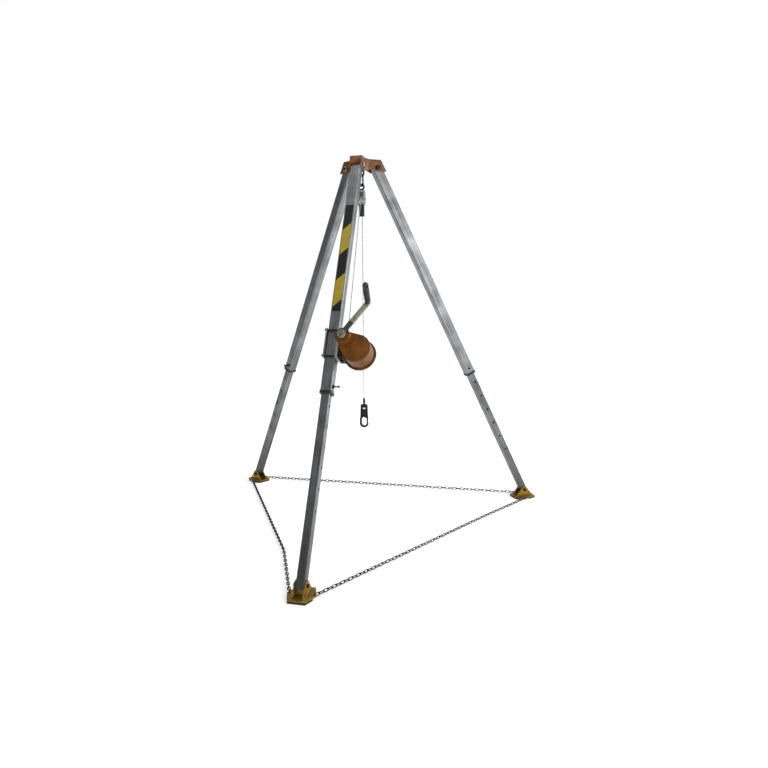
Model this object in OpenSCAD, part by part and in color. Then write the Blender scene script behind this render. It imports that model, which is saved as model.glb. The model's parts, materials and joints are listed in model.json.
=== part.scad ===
// Rescue tripod: three telescopic legs under a cast head, a geared hand winch on the front leg,
// a wire rope over a pulley block to a snap hook, and chains that tie the feet together.

/* [Stand] */
// Height of the leg pivots above the ground
pivot_h = 2050; // [1900:10:2200]
// Lean of each leg from the vertical, in degrees
splay = 26.7; // [25:0.1:28]
// Distance of each leg pivot from the centre line
pivot_r = 89; // [87:1:95]
// Diameter of the leg pivot bolts
pivot_d = 16; // [12:1:18]

/* [Leg tubes] */
// Width of the square outer tube
outer_w = 56; // [54:1:58]
// Wall of the outer tube
outer_wall = 4; // [3:0.5:4.5]
// Corner radius of the outer tube
outer_round = 6; // [5.5:0.5:8]
// Reach of the outer tube below its pivot
outer_l = 1350; // [1300:10:1400]
// Reach of the outer tube above its pivot
leg_head = 16; // [14:1:17]
// Width of the square inner tube
inner_w = 43; // [41:0.5:44]
// Wall of the inner tube
inner_wall = 3.5; // [2.5:0.5:4]
// Corner radius of the inner tube
inner_round = 5; // [4.5:0.5:6]
// Length of inner tube inside the outer tube when the leg is drawn out
overlap = 670; // [650:10:690]
// Depth of the plug in the outer tube's top, below the pivot
plug_l = 40; // [30:1:60]
// Length of the collar's guide inside the outer tube
guide_l = 90; // [70:5:120]
// Length of the collar's sleeve outside the outer tube
sleeve_l = 11; // [8:1:20]
// Thickness of the collar's sleeve and end lip
collar_t = 3; // [2.5:0.5:5]

/* [Warning tape] */
// Width of the warning tape
tape_w = 44; // [36:1:48]
// Distance of the tape's top below the pivot
tape_down = 287; // [260:1:320]
// Distance of the tape's lower end above the drum axis
tape_up = 207; // [180:1:230]

/* [Leg locks] */
// Diameter of the lock pins
pin_d = 12; // [10:1:14]
// Distance of the lock pin above the outer tube's end
pin_up = 38; // [30:1:60]
// Distance between the lock holes
hole_pitch = 100; // [80:5:100]
// Number of steps that a leg shortens by
hole_steps = 6; // [3:1:6]
// Length of the lock pin's handle outside the tube
pin_handle_l = 27; // [20:1:40]

/* [Feet] */
// Height of the ankle bolt above the ground
ankle_h = 55; // [52:1:64]
// Diameter of the ankle bolts
ankle_d = 12; // [10:1:14]
// Inner tube beyond the ankle bolt
toe_l = 20; // [16:1:22]
// Length of the foot plate, out from the centre
foot_l = 140; // [120:2:160]
// Width of the foot plate at its chain eyes
foot_w = 137; // [130:1:150]
// Width of the foot plate at its ends
foot_end_w = 84; // [76:1:100]
// Thickness of the foot plate
plate_t = 6; // [5:0.5:7]
// Thickness of the rubber sole
sole_t = 10; // [9:0.5:12]
// Thickness of the shoe's cheeks
shoe_t = 6; // [4:0.5:8]
// Diameter of the chain eyes
eye_d = 13; // [12:0.5:14]

/* [Head] */
// Thickness of the head's cheeks
cheek_t = 6; // [5:0.5:9]
// Thickness of the head's roof
roof_t = 8; // [7:0.5:12]
// Height of the roof's underside above the pivots
roof_h = 35; // [35:0.5:36]
// Radius of the hub
hub_r = 48; // [40:1:50]
// Length of an arm's roof beyond the leg's pivot
arm_over = 19; // [17:1:25]
// Diameter of the eye bolt
anchor_d = 16; // [12:1:20]

/* [Block] */
// Radius of the rope's centre line on the sheave
sheave_r = 26; // [24:1:28]
// Width of the sheave
sheave_w = 22; // [16:1:24]
// Thickness of the block's cheeks
block_t = 9; // [6:0.5:10]
// Diameter of the sheave axle
axle_d = 12; // [10:1:14]
// Length of the connector, over its wire
connector_l = 75; // [70:1:85]
// Diameter of the connector's wire
connector_d = 9; // [8:0.5:10]

/* [Winch] */
// Distance of the drum axis to the side of the leg's centre line
drum_side = 132; // [131:1:136]
// Distance of the drum axis above the outer tube's lower end, along the leg
drum_up = 224; // [200:2:250]
// Outer radius of the cover round the drum
cover_r = 72; // [71:1:76]
// Outer radius of the cover round the crank shaft
cover_small_r = 42; // [40:1:44]
// Wall of the cover
cover_wall = 4; // [3:0.5:5]
// Depth of the cover on each side of the leg's centre plane
cover_half = 46; // [46:1:52]
// Radius of the ratchet boss
boss_r = 38; // [37:0.5:40]
// Height of the ratchet boss
boss_h = 50; // [46:1:60]
// Radius of the wound rope on the full drum
wound_r = 61.5; // [60:0.5:62]
// Radius of the drum's core
core_r = 45; // [35:1:50]
// Tooth size of the gear pair
gear_module = 2.5; // [2.5:0.05:2.55]
// Teeth of the drum gear
gear_teeth = 48; // [48:1:49]
// Teeth of the pinion
pinion_teeth = 14; // [13:1:14]
// Diameter of the drum shaft
drum_shaft_d = 20; // [16:1:24]
// Diameter of the crank shaft
crank_shaft_d = 16; // [14:1:18]
// Length of the crank from shaft to grip
crank_l = 200; // [180:5:230]
// Length of the crank grip
grip_l = 118; // [100:2:130]
// Radius of the crank grip
grip_r = 14; // [12:0.5:17]

/* [Line] */
// Diameter of the wire rope
rope_d = 5; // [4:0.25:6]
// Height of the lower end of the rope above the ground
rope_end_h = 715; // [600:5:900]
// Diameter of the chain wire
chain_d = 5; // [4.5:0.25:5]
// Inner length of a chain link
link_l = 26; // [24:0.5:30]
// Inner width of a chain link
link_w = 8; // [7:0.25:9]

/* [Hidden] */
$fn = 48;
front = -90;
right = 30;
left = 150;

// Clearances: running fits, seats, sliding pieces and hinged pieces
run_gap = 0.05;
seat_gap = 0.1;
slide_gap = 0.4;
hinge_gap = 0.5;

// Leg, measured along the tube from its pivot
outer_in = outer_w - 2 * outer_wall;
pin_s = outer_l - pin_up;
arm_l = pivot_r + arm_over;
drum_down = outer_l - drum_up;
inner_top_s = outer_l - overlap;
ankle_s = (pivot_h - ankle_h) / cos(splay);
ankle_r = pivot_r + ankle_s * sin(splay);
passage_w = inner_w + 2 * slide_gap;

// Foot plate, as seen from above, and the shift that centres the whole stand on the origin
foot_plate = [
  [-foot_end_w / 2, -foot_l / 2], [foot_end_w / 2, -foot_l / 2], [foot_w / 2, 0],
  [foot_end_w / 2, foot_l / 2], [-foot_end_w / 2, foot_l / 2], [-foot_w / 2, 0]
];
foot_back = max([for (p = foot_plate) (ankle_r - p[1]) * sin(right) + p[0] * cos(right)]);
axis_y = (ankle_r + foot_l / 2 - foot_back) / 2;
plate_z = sole_t + plate_t / 2;
eye_rim = 5;
eye_x = foot_w / 2 - eye_rim - eye_d / 2;

// Head
channel_w = outer_w + 2 * hinge_gap;
arm_half = channel_w / 2 + cheek_t;
roof_top = roof_h + roof_t;
toe_drop = 20;
hub_drop = 8;
hub_lip = 2;
roof_lip = 1;
end_wall_t = 7;
swing_r = norm([outer_w / 2, leg_head]) + hinge_gap;
nut_t = 0.8 * pivot_d;
nut_d = 1.7 * pivot_d;

// Eye bolt, connector and block, from the head down
ring_r = 15;
ring_wire = 5;
eye_z = pivot_h - hub_drop - ring_r - ring_wire - 2;
connector_wire = connector_d / 2;
connector_half = 13;
connector_span = connector_l - connector_d;
connector_top = eye_z - ring_r + ring_wire + connector_wire + hinge_gap;
connector_z = connector_top - connector_span / 2;
block_ring_z = connector_top - connector_span + connector_wire + hinge_gap - ring_r + ring_wire;
block_top = block_ring_z - ring_r - ring_wire - 1;
bridge_t = 12;
sheave_rim = sheave_r + rope_d;
sheave_z = block_top - bridge_t - sheave_rim - 4;
block_half = sheave_w / 2 + hinge_gap;
guard_drop = 96;
guard_half = 15;

// Winch, seen along its shafts: X to the side, Y up the leg, Z out
gear_gap = gear_module * (gear_teeth + pinion_teeth) / 2;
crank_dir = 143;
crank_at = gear_gap * [cos(crank_dir), sin(crank_dir)];
frame_t = 6;
bracket_t = 6;
flat_x = outer_w / 2 + bracket_t + frame_t + 0.2 - drum_side;
rim_w = 10;
rim_t = 4;
bracket_up = 109;
bracket_down = 47;
bracket_half = 43;
clamp_y = [100, -38];
clamp_z = 36;
clamp_d = 8;
flange_t = 4;
drum_low = -42;
drum_high = 6;
drum_flange_r = wound_r + 4.5;
gear_low = 12;
gear_w = 14;
boss_top = cover_half + boss_h;
bush_t = 3;
hub_in = 8;
screw_d = 5;
screw_angles = [-100, -50, 0, 50, 230];
ratchet_low = cover_half + 10;
ratchet_t = 8;
pawl_r = 27;
pawl_dir = 20;
arm_low = boss_top + 5;
arm_t = 10;
arm_dir = 55.4;
arm_w = 26;
grip_tilt = 12;
grip_pin_d = 10;
grip_eye_d = 9;

// Rope: from the drum's left side to the sheave, over it, and down to the hook
lead_r = wound_r + rope_d / 2 + hinge_gap;
lead_out = -18;
lead_down = drum_down;
lead_side = drum_side - lead_r;
lead_at = [
  lead_side,
  -pivot_r - lead_down * sin(splay) - lead_out * cos(splay),
  pivot_h - lead_down * cos(splay) + lead_out * sin(splay)
];
block_yaw = atan2(lead_at[1], lead_at[0]);
lead_h = norm([lead_at[0], lead_at[1]]);
lead_z = lead_at[2] - sheave_z;
tangent = atan2(lead_z, lead_h) + acos(sheave_r / norm([lead_h, lead_z]));
lead_top = sheave_r * [cos(tangent), sin(tangent)];
lead_run = norm([lead_h, lead_z] - lead_top);
lead_lean = 90 - atan2(lead_top[1] - lead_z, lead_top[0] - lead_h);
guide_at = crank_at[1] + cover_small_r - 6;
fairlead_d = 16;
fall = [-sheave_r * cos(block_yaw), axis_y - sheave_r * sin(block_yaw)];

// Hook, from the rope's end down
socket_l = 36;
socket_r = 7;
hook_t = 16;
hook_z = rope_end_h - socket_l;
loop_r = 26;
loop_in = 15;
loop_rise = 22;
loop_drop = 116;
gate_z = 40;
gate_x = 17;

// Chains, from eye to eye
chain_wire = chain_d / 2;
link_span = link_l + chain_d;
link_step = link_l - 0.6;
eye_seat = eye_d / 2 - chain_wire - slide_gap - 1;
slack_at = 0.74;

// Places

// A leg's own frame: pivot at the origin, tube along -Z, -Y outwards, X along the pivot bolt
module leg_place(side) {
  translate([0, axis_y, 0]) rotate(side + 90) translate([0, -pivot_r, pivot_h])
    rotate([-splay, 0, 0]) children();
}

// A foot's upright frame on the ground under its ankle
module foot_place(side) {
  translate([0, axis_y, 0]) rotate(side + 90) translate([0, -ankle_r, 0]) children();
}

// An arm's upright frame on the centre line at the height of the pivots
module arm_place(side) {
  translate([0, axis_y, pivot_h]) rotate(side + 90) children();
}

// The block's frame: sheave centre at the origin, X towards the winch, Y along the axle
module block_place() {
  translate([0, axis_y, sheave_z]) rotate(block_yaw) children();
}

// The rope lead's frame: the drum's end at the origin, Z along the rope towards the sheave
module lead_place() {
  block_place() translate([lead_h, 0, lead_z]) rotate([0, lead_lean, 0]) children();
}

// The winch's frame: drum axis on Z, which points outwards, and Y up the leg
module winch_place() {
  leg_place(front) rotate([90, 0, 0]) translate([drum_side, -drum_down, 0]) children();
}

module crank_place() {
  winch_place() translate(crank_at) children();
}

module hook_place() {
  translate([fall[0], fall[1], hook_z]) children();
}

// Shared shapes

// A cylinder along X at a distance down the leg
module across(s, d, l) {
  translate([0, 0, -s]) rotate([0, 90, 0]) cylinder(d = d, h = l, center = true);
}

module round_square(w, r) {
  square([w, w - 2 * r], center = true);
  square([w - 2 * r, w], center = true);
  for (x = [-1, 1], y = [-1, 1]) translate([x, y] * (w / 2 - r)) circle(r);
}

module square_ring(w, r, hole_w, hole_r) {
  difference() {
    round_square(w, r);
    round_square(hole_w, hole_r);
  }
}

// A plate from x0 to x0 + t, whose outline is drawn outwards and up
module side_plate(x0, t) {
  translate([x0 + t, 0, 0]) rotate([90, 0, -90]) linear_extrude(t) children();
}

module hexagon(d, h) {
  cylinder(d = d, h = h, $fn = 6);
}

module wire_ring(r, wire) {
  rotate_extrude() translate([r, 0]) circle(wire);
}

// An oblong of round wire along X, with half rings of radius r at both ends
module oblong_wire(straight, r, wire) {
  for (end = [-1, 1]) {
    translate([end * straight / 2, 0, 0]) rotate(-90 * end) rotate_extrude(angle = 180)
      translate([r, 0]) circle(wire);
    translate([0, end * r, 0]) rotate([0, 90, 0])
      cylinder(r = wire, h = straight, center = true);
  }
}

// An outline round two circles and between their tangents, about the drum and the crank shaft
function arc(centre, r, from, to) =
  [for (i = [0 : 40]) let (a = from + (to - from) * i / 40) centre + r * [cos(a), sin(a)]];
module teardrop(big, small) {
  turn = acos((big - small) / gear_gap);
  polygon(concat(
    arc([0, 0], big, crank_dir + turn, crank_dir + 360 - turn),
    arc(crank_at, small, crank_dir - turn, crank_dir + turn)
  ));
}

// The teardrop, cut flat beside the leg
module flat_teardrop(big, small, cut = flat_x) {
  intersection() {
    teardrop(big, small);
    translate([cut, -2 * big]) square(4 * big);
  }
}

// Involute teeth with a pressure angle of 25 degrees and a little backlash
function involute(angle) = tan(angle) * 180 / PI - angle;
function flank(teeth, r) =
  let (base = gear_module * teeth / 2 * cos(25))
    (90 - 3) / teeth + involute(25) - involute(acos(min(1, base / r)));
function gear_points(teeth) =
  let (
    pitch = gear_module * teeth / 2,
    root = pitch - 1.25 * gear_module,
    tip = pitch + 0.9 * gear_module,
    base = max(pitch * cos(25), root + 0.1),
    radii = [root, base, (base + pitch) / 2, pitch, (pitch + tip) / 2, tip]
  ) [
    for (i = [0 : teeth - 1], k = [0 : 2 * len(radii) - 1])
      let (
        rising = k < len(radii),
        r = radii[rising ? k : 2 * len(radii) - 1 - k],
        turn = 360 * i / teeth + (rising ? -1 : 1) * flank(teeth, max(r, base))
      ) r * [cos(turn), sin(turn)]
  ];

// Head

module head_casting() {
  wall_half = arm_half - 3;
  wall_t = 4;
  color("#7d4a18") difference() {
    union() {
      translate([0, axis_y, pivot_h - hub_drop])
        cylinder(r = hub_r, h = hub_drop + roof_top + hub_lip);
      for (side = [front, right, left]) {
        arm_place(side) {
          translate([-arm_half - roof_lip, -arm_l, roof_h])
            cube([2 * (arm_half + roof_lip), arm_l, roof_t]);
          for (x = [-arm_half, channel_w / 2]) side_plate(x, cheek_t) cheek_outline();
        }
        leg_place(side) {
          translate([-wall_half, -outer_w / 2 - slide_gap - end_wall_t, -toe_drop])
            cube([2 * wall_half, end_wall_t, toe_drop - 7]);
          translate([-wall_half, -swing_r - wall_t, -toe_drop + 3])
            cube([2 * wall_half, wall_t, toe_drop + 22]);
        }
      }
    }
    for (side = [front, right, left])
      leg_place(side) across(0, pivot_d + 2 * seat_gap, 3 * arm_half);
    translate([0, axis_y, 0]) cylinder(d = anchor_d + 2 * seat_gap, h = 2 * pivot_h);
  }
}

// A cheek of an arm, with its end along the leg
module cheek_outline() {
  slope = (roof_top + toe_drop) * tan(splay);
  polygon([
    [0, roof_top - 4], [arm_l + 2, roof_top - 4], [arm_l + 2 + slope, -toe_drop],
    [pivot_r - 1.6 * pivot_d, -toe_drop], [hub_r - 12, 3 - hub_drop], [0, 3 - hub_drop]
  ]);
}

module pivot_bolts() {
  color("#33312e") for (side = [front, right, left]) leg_place(side) rotate([0, 90, 0]) {
    translate([0, 0, -arm_half]) cylinder(d = pivot_d, h = 2 * arm_half + nut_t + 4);
    translate([0, 0, -arm_half - nut_t]) hexagon(nut_d, nut_t);
  }
}

module head_nuts() {
  color("#55534e") {
    for (side = [front, right, left]) leg_place(side) rotate([0, 90, 0])
      translate([0, 0, arm_half]) difference() {
        hexagon(nut_d, nut_t);
        cylinder(d = pivot_d + 2 * seat_gap, h = 3 * nut_t, center = true);
      }
    translate([0, axis_y, pivot_h + roof_top + hub_lip]) difference() {
      hexagon(1.7 * anchor_d, 0.8 * anchor_d);
      cylinder(d = anchor_d + 2 * seat_gap, h = 4 * anchor_d, center = true);
    }
  }
}

module anchor_eye() {
  shoulder_z = eye_z + ring_r;
  color("#2b2b2b") translate([0, axis_y, 0]) {
    translate([0, 0, eye_z]) rotate([90, 0, 0]) wire_ring(ring_r, ring_wire);
    translate([0, 0, shoulder_z])
      cylinder(d = anchor_d + 8, h = pivot_h - hub_drop - shoulder_z);
    translate([0, 0, shoulder_z])
      cylinder(d = anchor_d, h = pivot_h + roof_top + hub_lip + anchor_d - shoulder_z);
  }
}

// The connector hangs in the eye with its gate on the side of the winch
gate_half = 16;
fork_l = 10;
tongue_t = 4;
gate_pin_d = 3;

module connector_place() {
  translate([0, axis_y, connector_z]) rotate([0, 90, 150]) children();
}

module connector() {
  straight = connector_span - 2 * connector_half;
  color("#1c1c1c") connector_place() difference() {
    union() {
      oblong_wire(straight, connector_half, connector_wire);
      translate([gate_half - fork_l, connector_half - connector_wire, -connector_wire])
        cube([fork_l, connector_d, connector_d]);
    }
    translate([0, connector_half, 0]) rotate([0, 90, 0])
      cylinder(r = 2 * connector_wire, h = 2 * (gate_half - fork_l), center = true);
    translate([-gate_half, connector_half, 0]) rotate([0, 90, 0])
      cylinder(r = 2 * connector_wire, h = 2 * (gate_half - fork_l), $fn = 32);
    translate([gate_half - fork_l - 1, 0, -tongue_t / 2 - slide_gap])
      cube([fork_l + 2, 2 * connector_half, tongue_t + 2 * slide_gap]);
  }
  color("#1c1c1c") connector_place() translate([gate_half - fork_l / 2, connector_half, 0])
    cylinder(d = gate_pin_d, h = connector_d, center = true);
}

module connector_gate() {
  color("#3a3a3a") connector_place() difference() {
    union() {
      translate([-gate_half + slide_gap, connector_half, 0]) rotate([0, 90, 0])
        cylinder(r = connector_wire - 0.5, h = 2 * gate_half - fork_l - 3);
      translate([gate_half - fork_l - 4, connector_half - 3, -tongue_t / 2])
        cube([fork_l / 2 + 4, 6, tongue_t]);
      translate([gate_half - fork_l / 2, connector_half, 0])
        cylinder(r = 3, h = tongue_t, center = true);
    }
    translate([gate_half - fork_l / 2, connector_half, 0])
      cylinder(d = gate_pin_d + 2 * run_gap, h = 4 * tongue_t, center = true);
  }
}

// Block

// A cheek's outline in the plane of the sheave
module block_outline() {
  top = block_top - sheave_z;
  circle(sheave_rim + 2);
  translate([-sheave_rim + 4, 0]) square([2 * sheave_rim - 8, top]);
}

module block_cheeks() {
  top = block_top - sheave_z;
  width = 2 * (block_half + block_t);
  color("#b9bbb6") block_place() difference() {
    union() {
      for (y = [-block_half - block_t, block_half]) translate([0, y + block_t, 0])
        rotate([90, 0, 0]) linear_extrude(block_t) block_outline();
      translate([-sheave_rim + 4, -width / 2, top - bridge_t])
        cube([2 * sheave_rim - 8, width, bridge_t]);
    }
    rotate([90, 0, 0]) cylinder(d = axle_d + 2 * seat_gap, h = 2 * width, center = true);
    cylinder(d = 12 + 2 * run_gap, h = 2 * top);
  }
}

module block_eye() {
  top = block_top - sheave_z;
  ring_h = block_ring_z - sheave_z;
  color("#2d2d2d") block_place() {
    translate([0, 0, ring_h]) rotate([90, 0, -block_yaw]) wire_ring(ring_r, ring_wire);
    translate([0, 0, top]) cylinder(d = 22, h = ring_h - ring_r - top);
    translate([0, 0, top - bridge_t]) cylinder(d = 12, h = bridge_t + 1);
    translate([0, 0, top - bridge_t - 3]) cylinder(d = 18, h = 3);
  }
}

module block_axle() {
  half = block_half + block_t;
  color("#8d8f8c") block_place() rotate([90, 0, 0]) {
    cylinder(d = axle_d, h = 2 * half, center = true);
    for (z = [-half - 5, half]) translate([0, 0, z]) hexagon(1.7 * axle_d, 5);
  }
}

// Dark spacer under the sheave, between the two runs of rope
module block_guard() {
  color("#262626") block_place() difference() {
    translate([-12, -guard_half, -guard_drop])
      cube([24, 2 * guard_half, guard_drop - sheave_rim + 2]);
    rotate([90, 0, 0])
      cylinder(r = sheave_rim + 2 + seat_gap, h = 4 * guard_half, center = true);
  }
}

module sheave() {
  color("#c9c9c4") block_place() rotate([90, 0, 0]) rotate_extrude() difference() {
    translate([axle_d / 2 + run_gap, -sheave_w / 2])
      square([sheave_rim - axle_d / 2 - run_gap, sheave_w]);
    translate([sheave_r, 0]) circle(rope_d / 2 + 0.3);
    translate([sheave_r, -rope_d / 2 - 0.3]) square([rope_d * 2, rope_d + 0.6]);
  }
}

// Legs

module outer_tube(side) {
  color("#b4b7bb") leg_place(side) difference() {
    translate([0, 0, -outer_l]) linear_extrude(outer_l + leg_head)
      square_ring(outer_w, outer_round, outer_in, max(outer_round - outer_wall, 1));
    across(0, pivot_d + 2 * run_gap, 2 * outer_w);
    across(pin_s, pin_d + 2 * slide_gap, 2 * outer_w);
  }
}

module top_plug(side) {
  color("#4a4c4e") leg_place(side) difference() {
    translate([0, 0, -plug_l]) linear_extrude(plug_l + leg_head)
      round_square(outer_in - 2 * seat_gap, max(outer_round - outer_wall, 1));
    across(0, pivot_d + 2 * run_gap, 2 * outer_w);
  }
}

// Moulded collar: a sleeve over the tube's end, a lip under it and a guide inside it
module leg_collar(side) {
  sleeve_w = outer_w + 2 * collar_t;
  color("#2a2b2d") leg_place(side) difference() {
    union() {
      translate([0, 0, -outer_l - collar_t]) linear_extrude(sleeve_l + collar_t)
        square_ring(sleeve_w, outer_round + collar_t, outer_w + 2 * seat_gap, outer_round);
      translate([0, 0, -outer_l - collar_t]) linear_extrude(collar_t - seat_gap)
        square_ring(sleeve_w, outer_round + collar_t, passage_w, inner_round);
      translate([0, 0, -outer_l - collar_t]) linear_extrude(guide_l)
        square_ring(outer_in - 2 * seat_gap, 2, passage_w, inner_round);
    }
    across(pin_s, pin_d + 2 * slide_gap, 2 * outer_w);
  }
}

module inner_tube(side) {
  color("#a6a9ad") leg_place(side) difference() {
    translate([0, 0, -ankle_s - toe_l]) linear_extrude(ankle_s + toe_l - inner_top_s)
      square_ring(inner_w, inner_round, inner_w - 2 * inner_wall, inner_round - inner_wall);
    for (i = [0 : hole_steps])
      across(pin_s + i * hole_pitch, pin_d + 2 * slide_gap, 2 * inner_w);
    across(ankle_s, ankle_d + 2 * run_gap, 2 * inner_w);
  }
}

module lock_pin(side) {
  tip = outer_w / 2 + 5;
  color("#1e1e1e") leg_place(side) translate([0, 0, -pin_s]) rotate([0, 90, 0]) {
    translate([0, 0, -tip]) cylinder(d = pin_d, h = 2 * tip);
    translate([0, 0, outer_w / 2 + slide_gap]) cylinder(d = pin_d + 8, h = 5);
    translate([0, 0, outer_w / 2]) cylinder(d = 0.6 * pin_d, h = pin_handle_l);
    translate([0, 0, outer_w / 2 + pin_handle_l]) cylinder(d = pin_d + 2, h = 5);
  }
}

module warning_tape() {
  color("#d8b516") leg_place(front)
    translate([-tape_w / 2, -outer_w / 2 - 0.5, tape_up - drum_down])
      cube([tape_w, 0.4, drum_down - tape_up - tape_down]);
}

// Feet

module foot_shoe(side) {
  cheek_x = inner_w / 2 + hinge_gap;
  color("#a5822e") foot_place(side) difference() {
    union() {
      translate([0, 0, sole_t]) linear_extrude(plate_t) polygon(foot_plate);
      for (x = [-cheek_x - shoe_t, cheek_x]) side_plate(x, shoe_t) shoe_outline();
    }
    for (x = [-eye_x, eye_x]) translate([x, 0, 0]) cylinder(d = eye_d, h = 4 * sole_t);
    translate([0, 0, ankle_h]) rotate([0, 90, 0])
      cylinder(d = ankle_d + 2 * seat_gap, h = foot_w, center = true);
  }
}

// A cheek of the shoe, with its slot
module shoe_outline() {
  foot = foot_l / 2 - 6;
  ear = 2 * ankle_d;
  difference() {
    union() {
      translate([0, ankle_h]) circle(ear);
      polygon([[-foot, sole_t], [foot, sole_t], [ear, ankle_h + 6], [-ear, ankle_h + 6]]);
    }
    for (x = [28, 42]) translate([x, sole_t + 18]) circle(5);
    translate([28, sole_t + 13]) square([14, 10]);
  }
}

// Rubber sole, cut back where the chains hang through their eyes
module foot_sole(side) {
  color("#242321") foot_place(side) linear_extrude(sole_t) difference() {
    polygon(foot_plate);
    for (end = [0, 1]) mirror([end, 0]) translate([eye_x - eye_d, -1.7 * eye_d])
      square(3.4 * eye_d);
  }
}

module ankle_bolt(side) {
  half = inner_w / 2 + hinge_gap + shoe_t;
  color("#3b3a37") foot_place(side) translate([0, 0, ankle_h]) rotate([0, 90, 0]) {
    cylinder(d = ankle_d, h = 2 * half, center = true);
    for (z = [-half - 8, half]) translate([0, 0, z]) hexagon(1.7 * ankle_d, 8);
  }
}

// Winch

// Two plates that grip the leg from both sides
module winch_clamp() {
  long = bracket_up + bracket_down;
  face_x = outer_w / 2 + seat_gap;
  color("#8f9294") winch_place() for (x = [face_x, -face_x - bracket_t])
    translate([x - drum_side, -bracket_down, -bracket_half]) difference() {
      cube([bracket_t, long, 2 * bracket_half]);
      for (y = clamp_y, z = [-clamp_z, clamp_z])
        translate([0, y + bracket_down, z + bracket_half]) rotate([0, 90, 0])
          cylinder(d = clamp_d + 2 * seat_gap, h = 6 * bracket_t, center = true);
    }
}

// Clamp bolts with their nuts, and the screws of the cover
module winch_bolts() {
  left_x = -outer_w / 2 - seat_gap - bracket_t - drum_side;
  color("#2f2f30") winch_place() {
    for (y = clamp_y, z = [-clamp_z, clamp_z]) translate([0, y, z]) rotate([0, 90, 0]) {
      translate([0, 0, left_x]) cylinder(d = clamp_d, h = flat_x - left_x + 9);
      translate([0, 0, left_x - 6]) hexagon(14, 6);
      translate([0, 0, flat_x]) difference() {
        hexagon(14, 7);
        cylinder(d = clamp_d + 2 * seat_gap, h = 30, center = true);
      }
    }
    for (a = screw_angles) rotate(a) translate([cover_r + 0.52 * rim_w, 0, -cover_half - frame_t]) {
      cylinder(d = screw_d, h = frame_t + rim_t + 2);
      translate([0, 0, frame_t + rim_t]) hexagon(8, 4);
    }
  }
}

// Steel plate behind the drum, with a flange that is bolted to the clamp
module winch_frame() {
  color("#85888a") winch_place() difference() {
    union() {
      translate([0, 0, -cover_half - frame_t]) linear_extrude(frame_t) {
        flat_teardrop(cover_r + rim_w, cover_small_r + rim_w, flat_x - frame_t);
        translate([flat_x - frame_t, -bracket_down]) square([-flat_x, bracket_down + crank_at[1]]);
      }
      translate([flat_x - frame_t, -bracket_down, -cover_half - frame_t])
        cube([frame_t, bracket_up + bracket_down, bracket_half + cover_half + frame_t]);
    }
    for (y = clamp_y, z = [-clamp_z, clamp_z]) translate([0, y, z]) rotate([0, 90, 0])
      cylinder(d = clamp_d + 2 * seat_gap, h = 4 * drum_side, center = true);
    for (a = screw_angles) rotate(a) translate([cover_r + 0.52 * rim_w, 0, 0])
      cylinder(d = screw_d + 2 * seat_gap, h = 4 * cover_half, center = true);
    cylinder(d = drum_shaft_d + 2 * bush_t, h = 4 * cover_half, center = true);
  }
}

// Orange cover: teardrop shell over drum and gears, with the ratchet boss on its face
module winch_cover() {
  color("#8a5018") difference() {
    winch_place() cover_shell();
    lead_place() cylinder(d = fairlead_d + 2 * seat_gap, h = 2 * guide_at);
  }
}

module cover_shell() {
  inner = cover_half - cover_wall;
  difference() {
    union() {
      translate([0, 0, -cover_half]) linear_extrude(2 * cover_half)
        flat_teardrop(cover_r, cover_small_r);
      translate([0, 0, -cover_half]) linear_extrude(rim_t)
        flat_teardrop(cover_r + rim_w, cover_small_r + rim_w);
      translate([crank_at[0], crank_at[1], cover_half - 2]) cylinder(r = boss_r, h = boss_h + 2);
    }
    difference() {
      translate([0, 0, -2 * cover_half]) linear_extrude(2 * cover_half + inner)
        flat_teardrop(cover_r - cover_wall, cover_small_r - cover_wall, flat_x + cover_wall);
      translate([0, 0, inner - hub_in]) cylinder(d = drum_shaft_d + 20, h = 2 * hub_in);
    }
    translate([0, 0, inner - hub_in - 1]) cylinder(d = drum_shaft_d + 2 * bush_t, h = hub_in + 1);
    translate([crank_at[0], crank_at[1], cover_half]) difference() {
      cylinder(r = boss_r - cover_wall, h = boss_h - cover_wall);
      rotate(pawl_dir) translate([pawl_r, 0, -1]) cylinder(d = 6, h = ratchet_t + 14);
    }
    translate(crank_at) cylinder(d = crank_shaft_d + 2 * bush_t, h = 2 * boss_top);
    for (a = screw_angles) rotate(a) translate([cover_r + 0.52 * rim_w, 0, -cover_half - 1])
      cylinder(d = screw_d + 2 * seat_gap, h = rim_t + 2);
  }
}

module bush(d, l) {
  difference() {
    cylinder(d = d + 2 * bush_t - 2 * seat_gap, h = l);
    translate([0, 0, -1]) cylinder(d = d + 2 * run_gap, h = l + 2);
  }
}

module winch_bushes() {
  color("#b08a3c") {
    winch_place() {
      translate([0, 0, -cover_half - frame_t]) bush(drum_shaft_d, frame_t);
      translate([0, 0, cover_half - cover_wall - hub_in]) bush(drum_shaft_d, hub_in - seat_gap);
    }
    crank_place() for (z = [cover_half, boss_top]) translate([0, 0, z - cover_wall])
      bush(crank_shaft_d, cover_wall);
  }
}

// Nylon fairlead where the rope enters the cover
module rope_fairlead() {
  color("#1d1d1f") lead_place() translate([0, 0, guide_at]) difference() {
    union() {
      translate([0, 0, -12]) cylinder(d = fairlead_d, h = 24);
      translate([0, 0, 12]) cylinder(d = fairlead_d + 6, h = 5);
    }
    cylinder(d = rope_d + 2 * slide_gap, h = 60, center = true);
  }
}

module winch_drum() {
  color("#9a9c9e") winch_place() difference() {
    union() {
      translate([0, 0, drum_low]) cylinder(r = core_r, h = drum_high - drum_low);
      for (z = [drum_low, drum_high - flange_t]) translate([0, 0, z])
        cylinder(r = drum_flange_r, h = flange_t);
      translate([0, 0, drum_high]) cylinder(d = drum_shaft_d + 16, h = gear_low - drum_high);
    }
    cylinder(d = drum_shaft_d + 2 * run_gap, h = 8 * cover_half, center = true);
  }
}

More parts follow.
